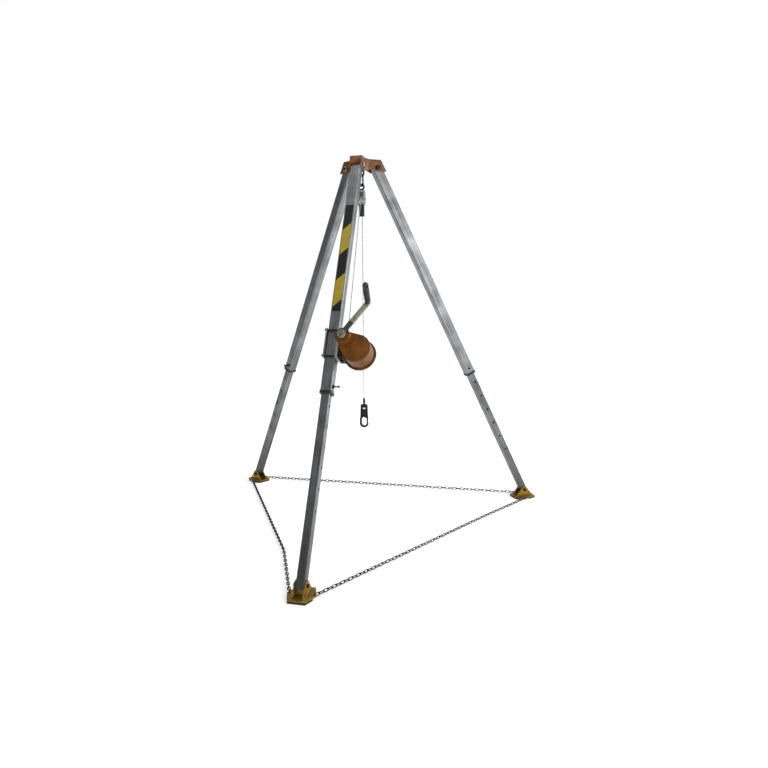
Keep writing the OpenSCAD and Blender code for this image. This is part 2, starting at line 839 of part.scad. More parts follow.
module wound_rope() {
  color("#8c8f91") winch_place() translate([0, 0, drum_low + flange_t]) difference() {
    cylinder(r = wound_r, h = drum_high - drum_low - 2 * flange_t);
    translate([0, 0, -1]) cylinder(r = core_r + run_gap, h = 100);
  }
}

module drum_gear() {
  color("#6f7173") winch_place() rotate(crank_dir) translate([0, 0, gear_low]) difference() {
    linear_extrude(gear_w) polygon(gear_points(gear_teeth));
    translate([0, 0, -1]) cylinder(d = drum_shaft_d + 2 * run_gap, h = gear_w + 2);
  }
}

module drum_shaft() {
  color("#c0c2c4") winch_place() translate([0, 0, -cover_half - frame_t - 3])
    cylinder(d = drum_shaft_d, h = 2 * cover_half + frame_t + 3 - cover_wall - 1);
}

module crank_shaft() {
  low = gear_low - 2;
  color("#c0c2c4") crank_place() {
    translate([0, 0, low]) cylinder(d = crank_shaft_d, h = arm_low + arm_t + 10 - low);
    translate([0, 0, arm_low + arm_t + 4]) hexagon(1.5 * crank_shaft_d, 9);
  }
}

module pinion() {
  color("#77797b") crank_place() rotate(crank_dir + 180 + 180 / pinion_teeth)
    translate([0, 0, gear_low - 2]) difference() {
      linear_extrude(gear_w + 4) polygon(gear_points(pinion_teeth));
      translate([0, 0, -1]) cylinder(d = crank_shaft_d + 2 * run_gap, h = gear_w + 8);
    }
}

module ratchet_wheel() {
  teeth = 12;
  color("#707274") crank_place() translate([0, 0, ratchet_low]) difference() {
    linear_extrude(ratchet_t) polygon([
      for (i = [0 : teeth - 1], k = [0, 1])
        let (a = 360 * (i + 0.15 * k) / teeth) (k == 0 ? 19 : 14.5) * [cos(a), sin(a)]
    ]);
    translate([0, 0, -1]) cylinder(d = crank_shaft_d + 2 * run_gap, h = ratchet_t + 2);
  }
}

// The pawl is stored lifted just clear of the teeth
module pawl() {
  tip = 20 * [cos(35), sin(35)] - [pawl_r, 0];
  color("#5c5e60") crank_place() rotate(pawl_dir) translate([pawl_r, 0, ratchet_low])
    linear_extrude(ratchet_t) difference() {
      union() {
        circle(6);
        polygon([[3.5, 4.5], tip + [2.5, 2], tip, [-5.2, -2]]);
      }
      circle(d = 6 + 4 * run_gap);
    }
}

// Flat arm on the crank shaft, with the pin that the grip turns on
module crank_arm() {
  pin_l = arm_t + 6 + grip_l - 12;
  color("#9aa08c") crank_place() translate([0, 0, arm_low]) rotate(arm_dir) difference() {
    union() {
      cylinder(r = 20, h = arm_t + 4);
      translate([0, -arm_w / 2, 0]) cube([crank_l, arm_w, arm_t]);
      translate([crank_l, 0, 0]) cylinder(d = arm_w, h = arm_t);
      translate([crank_l, 0, 2]) rotate([0, grip_tilt, 0]) cylinder(d = grip_pin_d, h = pin_l);
    }
    translate([0, 0, -1]) cylinder(d = crank_shaft_d + 2 * run_gap, h = 40);
  }
}

// Grip with a lanyard eye at its end
module crank_grip() {
  color("#141414") crank_place() translate([0, 0, arm_low]) rotate(arm_dir)
    translate([crank_l, 0, 2]) rotate([0, grip_tilt, 0]) translate([0, 0, arm_t + 4]) difference() {
      union() {
        cylinder(r = grip_r, h = grip_l);
        translate([0, 0, grip_l + 8]) rotate([90, 0, 0])
          cylinder(r = grip_r, h = grip_r, center = true);
        translate([-grip_r, -grip_r / 2, grip_l - 1]) cube([2 * grip_r, grip_r, 9]);
      }
      translate([0, 0, -1]) cylinder(d = grip_pin_d + 2 * run_gap, h = grip_l - 8);
      translate([0, 0, grip_l + 8]) rotate([90, 0, 0])
        cylinder(d = grip_eye_d, h = 4 * grip_r, center = true);
    }
}

// Line

module rope_lead() {
  color("#9fa2a3") {
    lead_place() cylinder(d = rope_d, h = lead_run);
    block_place() rotate([90, 0, 0]) rotate(tangent) rotate_extrude(angle = 180 - tangent)
      translate([sheave_r, 0]) circle(d = rope_d);
  }
}

module rope_fall() {
  low = rope_end_h + slide_gap;
  color("#b3b6b6") translate([fall[0], fall[1], low]) cylinder(d = rope_d, h = sheave_z - low);
}

// Pressed socket on the rope's end, with the stem and button that the hook turns on
module rope_socket() {
  color("#3a3b3c") hook_place() {
    translate([0, 0, 4]) cylinder(r = socket_r, h = socket_l - 4);
    translate([0, 0, -16]) cylinder(d = 9, h = 21);
    translate([0, 0, -22]) cylinder(d = 15, h = 6);
  }
}

module hook_outline() {
  loop_z = -loop_drop;
  for (z = [loop_z, loop_z + loop_rise]) translate([0, z]) circle(loop_r);
  translate([-loop_r, loop_z]) square([2 * loop_r, loop_rise]);
  polygon([
    [-23, loop_z + loop_rise + 8], [23, loop_z + loop_rise + 8],
    [20, -6], [14, 0], [-14, 0], [-20, -6]
  ]);
}

module snap_hook() {
  loop_z = -loop_drop;
  color("#141414") hook_place() difference() {
    rotate([90, 0, 0]) linear_extrude(hook_t, center = true) difference() {
      hook_outline();
      for (z = [loop_z, loop_z + loop_rise]) translate([0, z]) circle(loop_in);
      translate([-loop_in, loop_z]) square([2 * loop_in, loop_rise]);
      translate([loop_in - 6, loop_z - 2]) square([loop_r, gate_z - 7]);
    }
    translate([gate_x - 9, -5, loop_z + gate_z - 10]) cube([loop_r, 10, 20]);
    translate([0, 0, -20]) cylinder(d = 9 + 2 * slide_gap, h = 40);
    translate([-9, -hook_t, -30]) cube([18, 2 * hook_t, 14 + slide_gap]);
  }
  color("#141414") hook_place() translate([gate_x, 0, loop_z + gate_z]) rotate([90, 0, 0])
    cylinder(d = 5, h = hook_t, center = true);
}

module hook_gate() {
  loop_z = -loop_drop;
  low = -gate_z - 2 + 3 * slide_gap;
  color("#2e2e2e") hook_place() translate([gate_x, 0, loop_z + gate_z]) rotate([90, 0, 0])
    linear_extrude(9, center = true) difference() {
      union() {
        circle(6.5);
        translate([-1.5, low]) square([8, -low]);
      }
      circle(d = 5 + 2 * run_gap);
    }
}

// Chains

// A chain eye's centre on a foot, on the side where x is positive or negative
function eye_point(side, x) =
  [0, axis_y, 0] + [
    ankle_r * sin(side + 90) + x * cos(side + 90),
    -ankle_r * cos(side + 90) + x * sin(side + 90),
    plate_z
  ];

// A chain from eye to eye, pulled aside by bow at its slack point
module chain(from, to, bow) {
  run = to - from;
  far = norm(run);
  along = run / far;
  aside = [-along[1], along[0], 0];
  count = 2 * round((far - 2 * eye_seat - link_span) / link_step / 2);
  step = (far - 2 * eye_seat - link_span) / count;
  function slack(u) = min(u / slack_at, (far - u) / (1 - slack_at)) / far;
  function eased(u) = (slack(u - link_span) + slack(u) + slack(u + link_span)) / 3;
  function at(u) = from + along * u + aside * bow * eased(u);
  color("#26272a") for (i = [0 : count]) {
    u = eye_seat + link_span / 2 + i * step;
    lean = at(u + step / 2) - at(u - step / 2);
    translate(at(u)) rotate(atan2(lean[1], lean[0])) rotate([i % 2 == 0 ? 90 : 0, 0, 0])
      oblong_wire(link_l - link_w, link_w / 2 + chain_wire, chain_wire);
  }
}

head_casting();
pivot_bolts();
head_nuts();
anchor_eye();
connector();
connector_gate();
block_cheeks();
block_eye();
block_axle();
block_guard();
sheave();
outer_tube(front);  // front_outer_tube
top_plug(front);  // front_top_plug
leg_collar(front);  // front_collar
inner_tube(front);  // front_inner_tube
lock_pin(front);  // front_lock_pin
foot_shoe(front);  // front_foot_shoe
foot_sole(front);  // front_foot_sole
ankle_bolt(front);  // front_ankle_bolt
warning_tape();
outer_tube(right);  // right_outer_tube
top_plug(right);  // right_top_plug
leg_collar(right);  // right_collar
inner_tube(right);  // right_inner_tube
lock_pin(right);  // right_lock_pin
foot_shoe(right);  // right_foot_shoe
foot_sole(right);  // right_foot_sole
ankle_bolt(right);  // right_ankle_bolt
outer_tube(left);  // left_outer_tube
top_plug(left);  // left_top_plug
leg_collar(left);  // left_collar
inner_tube(left);  // left_inner_tube
lock_pin(left);  // left_lock_pin
foot_shoe(left);  // left_foot_shoe
foot_sole(left);  // left_foot_sole
ankle_bolt(left);  // left_ankle_bolt
winch_clamp();
winch_bolts();
winch_frame();
winch_cover();
winch_bushes();
rope_fairlead();
winch_drum();
drum_gear();
drum_shaft();
wound_rope();
crank_shaft();
pinion();
ratchet_wheel();
pawl();
crank_arm();
crank_grip();
rope_lead();
rope_fall();
rope_socket();
snap_hook();
hook_gate();
chain(eye_point(left, eye_x), eye_point(front, -eye_x), 42);  // left_chain
chain(eye_point(front, eye_x), eye_point(right, -eye_x), 10);  // right_chain
chain(eye_point(right, eye_x), eye_point(left, -eye_x), 0);  // back_chain
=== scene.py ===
# Rescue tripod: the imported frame, dressed piece by piece from the head down.
import json
import math

import bmesh
import bpy
from mathutils import Matrix, Vector


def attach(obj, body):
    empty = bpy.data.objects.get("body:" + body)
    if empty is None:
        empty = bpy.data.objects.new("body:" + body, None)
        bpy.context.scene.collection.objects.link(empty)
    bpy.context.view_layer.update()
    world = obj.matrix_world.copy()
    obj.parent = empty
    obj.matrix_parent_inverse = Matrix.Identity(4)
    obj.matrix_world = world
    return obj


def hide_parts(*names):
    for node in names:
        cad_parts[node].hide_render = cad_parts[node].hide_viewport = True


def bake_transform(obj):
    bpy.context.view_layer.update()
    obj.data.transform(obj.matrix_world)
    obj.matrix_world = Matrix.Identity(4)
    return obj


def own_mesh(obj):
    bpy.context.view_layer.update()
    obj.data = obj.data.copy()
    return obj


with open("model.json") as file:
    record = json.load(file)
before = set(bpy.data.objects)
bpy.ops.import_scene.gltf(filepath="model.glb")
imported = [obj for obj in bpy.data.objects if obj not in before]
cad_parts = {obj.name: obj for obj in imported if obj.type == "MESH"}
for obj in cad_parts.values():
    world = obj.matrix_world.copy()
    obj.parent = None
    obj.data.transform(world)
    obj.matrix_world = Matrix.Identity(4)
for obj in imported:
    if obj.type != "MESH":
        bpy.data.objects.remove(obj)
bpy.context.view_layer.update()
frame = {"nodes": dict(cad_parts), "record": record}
scene = bpy.context.scene
nodes = frame["nodes"]

# Camera, floor and lights
# The stand was photographed from a little to the right of its front leg, with a short lens at
# chest height. Four soft boxes light it on a pale floor, the strongest from behind on the right.
stand_axis = Vector((0.0, 0.2724086, 0.0))
camera_turn, camera_away, camera_height = math.radians(14.8), 3.56, 1.26
camera_data = bpy.data.cameras.new("camera")
camera_data.lens = 28.125
camera_data.sensor_width = 36.0
camera_data.clip_end = 200.0
camera = bpy.data.objects.new("camera", camera_data)
scene.collection.objects.link(camera)
scene.camera = camera
yaw, pitch, roll = math.radians(12.81), math.radians(7.3), math.radians(-0.31)
look_back = Vector((math.sin(yaw) * math.cos(pitch), -math.cos(yaw) * math.cos(pitch), math.sin(pitch)))
level_right = Vector((math.cos(yaw), math.sin(yaw), 0.0))
level_up = look_back.cross(level_right)
right = level_right * math.cos(roll) + level_up * math.sin(roll)
up = level_up * math.cos(roll) - level_right * math.sin(roll)
place = Matrix((right, up, look_back)).transposed().to_4x4()
place.translation = stand_axis + Vector((
    camera_away * math.sin(camera_turn), -camera_away * math.cos(camera_turn), camera_height))
camera.matrix_world = place


def linear(code):
    """An sRGB hex colour as linear RGBA."""
    parts = [int(code[i:i + 2], 16) / 255 for i in (1, 3, 5)]
    return [p / 12.92 if p <= 0.04045 else ((p + 0.055) / 1.055) ** 2.4 for p in parts] + [1.0]


def put(tree, kind, inputs=None, stops=(), **settings):
    """A new node with its settings and colour stops, and its inputs set or linked."""
    made = tree.nodes.new(kind)
    for name, value in settings.items():
        setattr(made, name, value)
    for i, (position, code) in enumerate(stops):
        made.color_ramp.elements[i].position = position
        made.color_ramp.elements[i].color = linear(code)
    for name, value in (inputs or {}).items():
        if isinstance(value, bpy.types.NodeSocket):
            tree.links.new(value, made.inputs[name])
        else:
            made.inputs[name].default_value = value
    return made


def finish_named(name, **sockets):
    """A material with its shader's even values set, and its tree, shader and object coordinates."""
    material = bpy.data.materials.new(name)
    material.use_nodes = True
    tree = material.node_tree
    shader = tree.nodes["Principled BSDF"]
    for socket, value in sockets.items():
        shader.inputs[socket.replace("_", " ")].default_value = value
    return material, tree, shader, put(tree, "ShaderNodeTexCoord").outputs["Object"]


floor_paper, tree, shader, at = finish_named("pale_paper_floor", Roughness=0.85)
grain = put(tree, "ShaderNodeTexNoise", {"Vector": at, "Scale": 3.0, "Detail": 2.0})
tone = put(tree, "ShaderNodeValToRGB", {"Fac": grain.outputs["Fac"]},
           stops=((0.0, "#F3F3F1"), (1.0, "#F7F7F6")))
tree.links.new(tone.outputs["Color"], shader.inputs["Base Color"])
tree.links.new(tone.outputs["Color"], shader.inputs["Emission Color"])
away = put(tree, "ShaderNodeVectorMath", {0: at}, operation="LENGTH")
glow = put(tree, "ShaderNodeMapRange", {"Value": away.outputs["Value"], "From Min": 1.5, "From Max": 6.0,
                                        "To Min": 0.24, "To Max": 0.50})
tree.links.new(glow.outputs["Result"], shader.inputs["Emission Strength"])
floor_mesh = bpy.data.meshes.new("floor")
floor_half = 40
corners = [(x * floor_half, y * floor_half, 0) for x, y in ((-1, -1), (1, -1), (1, 1), (-1, 1))]
floor_mesh.from_pydata(corners, [], [(0, 1, 2, 3)])
floor_mesh.materials.append(floor_paper)
floor = bpy.data.objects.new("floor", floor_mesh)
scene.collection.objects.link(floor)

world = bpy.data.worlds.new("studio")
scene.world = world
world.use_nodes = True
tree = world.node_tree
walls = tree.nodes["Background"]
bright_side = (0.80, 0.46, 0.38)
turn_to = put(tree, "ShaderNodeVectorMath", {0: put(tree, "ShaderNodeTexCoord").outputs["Generated"],
                                             1: bright_side}, operation="DOT_PRODUCT")
wall_light = put(tree, "ShaderNodeMapRange", {
    "Value": turn_to.outputs["Value"], "From Min": -1.0, "From Max": 1.0, "To Min": 0.10, "To Max": 1.10})
tree.links.new(wall_light.outputs["Result"], walls.inputs["Strength"])
walls.inputs["Color"].default_value = linear("#FFFFFF")
paper = put(tree, "ShaderNodeBackground", {"Color": linear("#FFFFFF"), "Strength": 1.0})
seen = put(tree, "ShaderNodeMixShader", {0: put(tree, "ShaderNodeLightPath").outputs["Is Camera Ray"],
                                         1: walls.outputs["Background"], 2: paper.outputs["Background"]})
tree.links.new(seen.outputs["Shader"], tree.nodes["World Output"].inputs["Surface"])
lit_point = Vector((0.0, 0.1, 1.1))
for name, spot, size, power in (
    ("key_box", (3.6, 2.0, 1.9), 2.4, 120.0),
    ("front_box", (3.2, -2.7, 1.6), 1.6, 44.0),
    ("fill_box", (-3.2, -2.6, 2.2), 2.4, 8.0),
    ("top_box", (0.4, 0.2, 4.8), 2.6, 50.0),
):
    lamp = bpy.data.lights.new(name, "AREA")
    lamp.size = size
    lamp.energy = power
    box = bpy.data.objects.new(name, lamp)
    box.location = spot
    box.rotation_euler = (lit_point - Vector(spot)).to_track_quat("-Z", "Y").to_euler()
    scene.collection.objects.link(box)
scene.view_settings.view_transform = "Standard"


# Head casting
# One iron casting in orange-brown enamel: a hub with three channel-shaped arms that the legs
# hinge in. Its edges are rounded by the mould, and the enamel is chipped and darkened in places.
def softened(node_name, width, material, segments=2):
    """A copy of a CAD node with rounded edges, which takes the node's place."""
    made = bmesh.new()
    made.from_mesh(nodes[node_name].data)
    bmesh.ops.remove_doubles(made, verts=made.verts, dist=1e-6)
    bmesh.ops.dissolve_limit(made, angle_limit=math.radians(0.6), verts=made.verts, edges=made.edges)
    mesh = bpy.data.meshes.new(node_name + "_rounded")
    made.to_mesh(mesh)
    made.free()
    piece = bpy.data.objects.new(node_name + "_rounded", mesh)
    scene.collection.objects.link(piece)
    edge = piece.modifiers.new("edges", "BEVEL")
    edge.width = width
    edge.segments = segments
    edge.limit_method = "ANGLE"
    edge.angle_limit = math.radians(40)
    edge.use_clamp_overlap = True
    evaluated = piece.evaluated_get(bpy.context.evaluated_depsgraph_get())
    piece.data = bpy.data.meshes.new_from_object(evaluated)
    piece.modifiers.clear()
    for face in piece.data.polygons:
        face.use_smooth = True
    piece.data.set_sharp_from_angle(angle=math.radians(35))
    piece.data.materials.clear()
    piece.data.materials.append(material)
    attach(piece, next(b for b, own in frame["record"]["behaviour"]["bodies"].items() if node_name in own))
    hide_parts(node_name)
    return piece


# Brushed enamel: a warm brown orange, darker in clouds of 45 mm, with an orange-peel gloss of 3 mm
# and small chips down to grey iron. A pattern's Scale is the number of its cells in a metre.
orange_enamel, tree, shader, at = finish_named("orange_brown_enamel", Coat_Weight=0.1, Coat_Roughness=0.25,
                                               Specular_IOR_Level=0.28)
cloud = put(tree, "ShaderNodeTexNoise", {"Vector": at, "Scale": 22.0, "Detail": 4.0, "Roughness": 0.6})
tone = put(tree, "ShaderNodeValToRGB", {"Fac": cloud.outputs["Fac"]},
           stops=((0.28, "#3E2200"), (0.72, "#764300")))
chips = put(tree, "ShaderNodeTexNoise", {"Vector": at, "Scale": 130.0, "Detail": 5.0, "Roughness": 0.7})
bare = put(tree, "ShaderNodeMapRange",
           {"Value": chips.outputs["Fac"], "From Min": 0.70, "From Max": 0.73, "To Min": 0.0, "To Max": 0.8})
mixed = put(tree, "ShaderNodeMix", {
    0: bare.outputs["Result"], 6: tone.outputs["Color"], 7: linear("#5B5550")}, data_type="RGBA")
tree.links.new(mixed.outputs[2], shader.inputs["Base Color"])
sheen = put(tree, "ShaderNodeMapRange", {"Value": cloud.outputs["Fac"], "To Min": 0.5, "To Max": 0.28})
tree.links.new(sheen.outputs["Result"], shader.inputs["Roughness"])
peel = put(tree, "ShaderNodeTexNoise", {"Vector": at, "Scale": 320.0, "Detail": 1.0})
rise = put(tree, "ShaderNodeBump", {"Height": peel.outputs["Fac"], "Strength": 0.18, "Distance": 0.0006})
tree.links.new(rise.outputs["Normal"], shader.inputs["Normal"])
softened("head_casting", 0.0025, orange_enamel, 3)


# Bolts, nuts and eye bolt of the head
# Bolts of 16 mm hold the legs, and a forged eye bolt hangs under the hub with an oblong connector
# in it. The bolts, the eye and the connector are black oxide steel; the nuts are zinc plated.

# Black oxide: a thin dull film, rubbed to a paler grey in patches of 6 mm. Its grit is drawn at
# 1 mm, coarser than the real one, so that it shows.
black_oxide, tree, shader, at = finish_named("black_oxide_steel", Metallic=0.75)
rub = put(tree, "ShaderNodeTexNoise", {"Vector": at, "Scale": 160.0, "Detail": 4.0})
tone = put(tree, "ShaderNodeValToRGB", {"Fac": rub.outputs["Fac"]},
           stops=((0.4, "#131314"), (0.75, "#34332F")))
tree.links.new(tone.outputs["Color"], shader.inputs["Base Color"])
sheen = put(tree, "ShaderNodeMapRange", {"Value": rub.outputs["Fac"], "To Min": 0.5, "To Max": 0.3})
tree.links.new(sheen.outputs["Result"], shader.inputs["Roughness"])
grit = put(tree, "ShaderNodeTexNoise", {"Vector": at, "Scale": 900.0})
rise = put(tree, "ShaderNodeBump", {"Height": grit.outputs["Fac"], "Strength": 0.15, "Distance": 0.0003})
tree.links.new(rise.outputs["Normal"], shader.inputs["Normal"])

# Zinc plate: a grey spangle about 8 mm across, under a film that is duller in clouds of 22 mm.
zinc_plate, tree, shader, at = finish_named("zinc_plated_steel", Metallic=1.0)
spangle = put(tree, "ShaderNodeTexVoronoi", {"Vector": at, "Scale": 120.0, "Randomness": 1.0})
tone = put(tree, "ShaderNodeValToRGB", {"Fac": spangle.outputs["Color"]},
           stops=((0.0, "#8C8F90"), (1.0, "#B3B5B3")))
tree.links.new(tone.outputs["Color"], shader.inputs["Base Color"])
film = put(tree, "ShaderNodeTexNoise", {"Vector": at, "Scale": 45.0, "Detail": 3.0})
sheen = put(tree, "ShaderNodeMapRange", {"Value": film.outputs["Fac"], "To Min": 0.55, "To Max": 0.32})
tree.links.new(sheen.outputs["Result"], shader.inputs["Roughness"])


def finished(material, *names):
    """CAD nodes that keep their shape and take a finish."""
    for name in names:
        mesh = nodes[name].data
        mesh.materials.clear()
        mesh.materials.append(material)


softened("pivot_bolts", 0.0012, black_oxide)
softened("head_nuts", 0.0012, zinc_plate)
finished(black_oxide, "anchor_eye", "connector", "connector_gate", "block_eye")


# Pulley block
# Two pressed cheeks in light grey enamel carry the sheave on a bolt, and a black moulded guard
# under it keeps the two runs of rope apart.

# Stoved enamel: light grey and half gloss, uneven in clouds of 17 mm.
grey_enamel, tree, shader, at = finish_named("light_grey_enamel", Coat_Weight=0.15)
cloud = put(tree, "ShaderNodeTexNoise", {"Vector": at, "Scale": 60.0, "Detail": 4.0})
tone = put(tree, "ShaderNodeValToRGB", {"Fac": cloud.outputs["Fac"]},
           stops=((0.3, "#6E6F6C"), (0.7, "#8C8D8B")))
tree.links.new(tone.outputs["Color"], shader.inputs["Base Color"])
sheen = put(tree, "ShaderNodeMapRange", {"Value": cloud.outputs["Fac"], "To Min": 0.5, "To Max": 0.34})
tree.links.new(sheen.outputs["Result"], shader.inputs["Roughness"])
softened("block_cheeks", 0.0015, grey_enamel)

# Glass-filled nylon, moulded: black and without gloss, a little dusty in clouds of 29 mm. Its
# spark-eroded grain is drawn at 1 mm, coarser than the real one, so that it shows.
black_nylon, tree, shader, at = finish_named("black_moulded_nylon", Specular_IOR_Level=0.4)
dust = put(tree, "ShaderNodeTexNoise", {"Vector": at, "Scale": 35.0, "Detail": 3.0})
tone = put(tree, "ShaderNodeValToRGB", {"Fac": dust.outputs["Fac"]},
           stops=((0.35, "#161617"), (0.75, "#2C2C2B")))
tree.links.new(tone.outputs["Color"], shader.inputs["Base Color"])
sheen = put(tree, "ShaderNodeMapRange", {"Value": dust.outputs["Fac"], "To Min": 0.5, "To Max": 0.68})
tree.links.new(sheen.outputs["Result"], shader.inputs["Roughness"])
grit = put(tree, "ShaderNodeTexNoise", {"Vector": at, "Scale": 1100.0})
rise = put(tree, "ShaderNodeBump", {"Height": grit.outputs["Fac"], "Strength": 0.25, "Distance": 0.0002})
tree.links.new(rise.outputs["Normal"], shader.inputs["Normal"])
softened("block_guard", 0.0015, black_nylon)
softened("block_axle", 0.001, zinc_plate)
finished(zinc_plate, "sheave")


# Telescopic legs
# Square extruded aluminium tubes in mill finish, one sliding in the other. Each outer tube has a
# moulded plug in its top and a collar at its lower end, where a pin locks the inner tube.

# Mill aluminium: grey, with lines drawn along the tube, dull oxide in patches of 110 mm, and darker olive
# patches towards the ground. The lines are drawn 2.4 mm wide, coarser than the real ones, so that they show.
lean = math.radians(26.7)
leg_turns = {"front": -90.0, "right": 30.0, "left": 150.0}
for leg_name, turn in leg_turns.items():
    into_leg = Matrix.Rotation(lean, 3, "X") @ Matrix.Rotation(-math.radians(turn + 90), 3, "Z")
    for tube, dull, bright in (("outer", "#505356", "#8E9193"), ("inner", "#4A4C4D", "#85878A")):
        aluminium, tree, shader, at = finish_named(f"mill_aluminium_{leg_name}_{tube}", Metallic=1.0)
        leg_at = put(tree, "ShaderNodeMapping", {"Vector": at, "Rotation": into_leg.to_euler()})
        lines = put(tree, "ShaderNodeMapping", {
            "Vector": leg_at.outputs["Vector"], "Scale": (420.0, 420.0, 3.0)})
        drawn = put(tree, "ShaderNodeTexNoise", {
            "Vector": lines.outputs["Vector"], "Scale": 1.0, "Detail": 3.0})
        patches = put(tree, "ShaderNodeTexNoise", {
            "Vector": leg_at.outputs["Vector"], "Scale": 9.0, "Detail": 5.0})
        both = put(tree, "ShaderNodeMix", {0: 0.45, 2: drawn.outputs["Fac"], 3: patches.outputs["Fac"]})
        tone = put(tree, "ShaderNodeValToRGB", {"Fac": both.outputs[0]},
                   stops=((0.36, dull), (0.64, bright)))
        height = put(tree, "ShaderNodeSeparateXYZ", {"Vector": at})
        # Darker olive patches towards the ground, below half a metre.
        low = put(tree, "ShaderNodeMapRange", {"Value": height.outputs["Z"], "From Min": 0.1, "From Max": 0.5,
                                               "To Min": 0.9, "To Max": 0.0})
        darker_low_patches = put(tree, "ShaderNodeMath", {
            0: low.outputs["Result"], 1: patches.outputs["Fac"]}, operation="MULTIPLY")
        mixed = put(tree, "ShaderNodeMix", {
            0: darker_low_patches.outputs[0], 6: tone.outputs["Color"], 7: linear("#2A2B20")}, data_type="RGBA")
        tree.links.new(mixed.outputs[2], shader.inputs["Base Color"])
        sheen = put(tree, "ShaderNodeMapRange", {"Value": both.outputs[0], "From Min": 0.3, "From Max": 0.7,
                                                 "To Min": 0.48, "To Max": 0.3})
        tree.links.new(sheen.outputs["Result"], shader.inputs["Roughness"])
        rise = put(tree, "ShaderNodeBump", {
            "Height": drawn.outputs["Fac"], "Strength": 0.12, "Distance": 0.0003})
        tree.links.new(rise.outputs["Normal"], shader.inputs["Normal"])
        finished(aluminium, f"{leg_name}_{tube}_tube")
    softened(leg_name + "_collar", 0.0012, black_nylon)
    softened(leg_name + "_top_plug", 0.001, black_nylon)
    softened(leg_name + "_lock_pin", 0.001, black_oxide)


# Warning tape on the front leg
# Vinyl film with black and yellow slanting bars, stuck down the outer face. It is half gloss, a
# little dusty, and its print is faded in patches of 25 mm.
tape_vinyl, tree, shader, at = finish_named("black_yellow_vinyl_tape", Specular_IOR_Level=0.22)
pivot_out, pivot_height = 0.089, 2.05
bar_start, bar_pitch = 0.270, 0.302
into_leg = Matrix.Rotation(lean, 3, "X")
pivot = Vector((0.0, stand_axis.y - pivot_out, pivot_height))
shift = -(into_leg @ pivot)
leg_at = put(tree, "ShaderNodeMapping", {"Vector": at, "Rotation": into_leg.to_euler(), "Location": shift})
split = put(tree, "ShaderNodeSeparateXYZ", {"Vector": leg_at.outputs["Vector"]})
slant = put(tree, "ShaderNodeMath", {0: split.outputs["X"], 1: split.outputs["Z"]}, operation="SUBTRACT")
bars = put(tree, "ShaderNodeMath", {0: slant.outputs[0], 1: -bar_start}, operation="ADD")
turns = put(tree, "ShaderNodeMath", {0: bars.outputs[0], 1: bar_pitch}, operation="DIVIDE")
rest = put(tree, "ShaderNodeMath", {0: turns.outputs[0]}, operation="FRACT")
yellow = put(tree, "ShaderNodeMath", {0: rest.outputs[0], 1: 0.5}, operation="GREATER_THAN")
fade = put(tree, "ShaderNodeTexNoise", {"Vector": at, "Scale": 40.0, "Detail": 4.0})
yellow_print = put(tree, "ShaderNodeValToRGB", {"Fac": fade.outputs["Fac"]},
                   stops=((0.0, "#84701A"), (1.0, "#AC962E")))
black_print = put(tree, "ShaderNodeValToRGB", {"Fac": fade.outputs["Fac"]},
                  stops=((0.0, "#0B0B0C"), (1.0, "#1E1D1C")))
print_mix = put(tree, "ShaderNodeMix", {
    0: yellow.outputs[0], 6: black_print.outputs["Color"], 7: yellow_print.outputs["Color"]},
    data_type="RGBA")
tree.links.new(print_mix.outputs[2], shader.inputs["Base Color"])
sheen = put(tree, "ShaderNodeMapRange", {"Value": fade.outputs["Fac"], "To Min": 0.38, "To Max": 0.55})
tree.links.new(sheen.outputs["Result"], shader.inputs["Roughness"])
finished(tape_vinyl, "warning_tape")


# Feet
# Welded steel shoes in yellow zinc, each on a thick rubber sole and hinged on a bolt through the
# inner tube. The plating is mottled in clouds of 26 mm and darker brown in patches within 3 cm of the ground.
yellow_zinc, tree, shader, at = finish_named("yellow_zinc_plate", Metallic=0.8)
cloud = put(tree, "ShaderNodeTexNoise", {"Vector": at, "Scale": 38.0, "Detail": 5.0, "Roughness": 0.65})
tone = put(tree, "ShaderNodeValToRGB", {"Fac": cloud.outputs["Fac"]},
           stops=((0.3, "#5C430A"), (0.68, "#A07E28")))
height = put(tree, "ShaderNodeSeparateXYZ", {"Vector": at})
# Darker brown patches within 3 cm of the ground.
low = put(tree, "ShaderNodeMapRange", {"Value": height.outputs["Z"], "From Min": 0.006, "From Max": 0.03,
                                       "To Min": 0.55, "To Max": 0.0})
darker_low_clouds = put(tree, "ShaderNodeMath", {0: low.outputs["Result"], 1: cloud.outputs["Fac"]}, operation="MULTIPLY")
mixed = put(tree, "ShaderNodeMix", {0: darker_low_clouds.outputs[0], 6: tone.outputs["Color"], 7: linear("#3A3020")},
            data_type="RGBA")
tree.links.new(mixed.outputs[2], shader.inputs["Base Color"])
sheen = put(tree, "ShaderNodeMapRange", {"Value": cloud.outputs["Fac"], "To Min": 0.55, "To Max": 0.36})
tree.links.new(sheen.outputs["Result"], shader.inputs["Roughness"])

# Moulded rubber: near black and matt, with pale dust in patches of 14 mm. Its grit is drawn at
# 1.4 mm, coarser than the real one, so that it shows.
sole_rubber, tree, shader, at = finish_named("moulded_sole_rubber", Specular_IOR_Level=0.3)
dust = put(tree, "ShaderNodeTexNoise", {"Vector": at, "Scale": 70.0, "Detail": 5.0})
tone = put(tree, "ShaderNodeValToRGB", {"Fac": dust.outputs["Fac"]},
           stops=((0.4, "#1A1917"), (0.8, "#3D3933")))
tree.links.new(tone.outputs["Color"], shader.inputs["Base Color"])
sheen = put(tree, "ShaderNodeMapRange", {"Value": dust.outputs["Fac"], "To Min": 0.7, "To Max": 0.9})
tree.links.new(sheen.outputs["Result"], shader.inputs["Roughness"])
grit = put(tree, "ShaderNodeTexNoise", {"Vector": at, "Scale": 700.0})
rise = put(tree, "ShaderNodeBump", {"Height": grit.outputs["Fac"], "Strength": 0.4, "Distance": 0.0004})
tree.links.new(rise.outputs["Normal"], shader.inputs["Normal"])

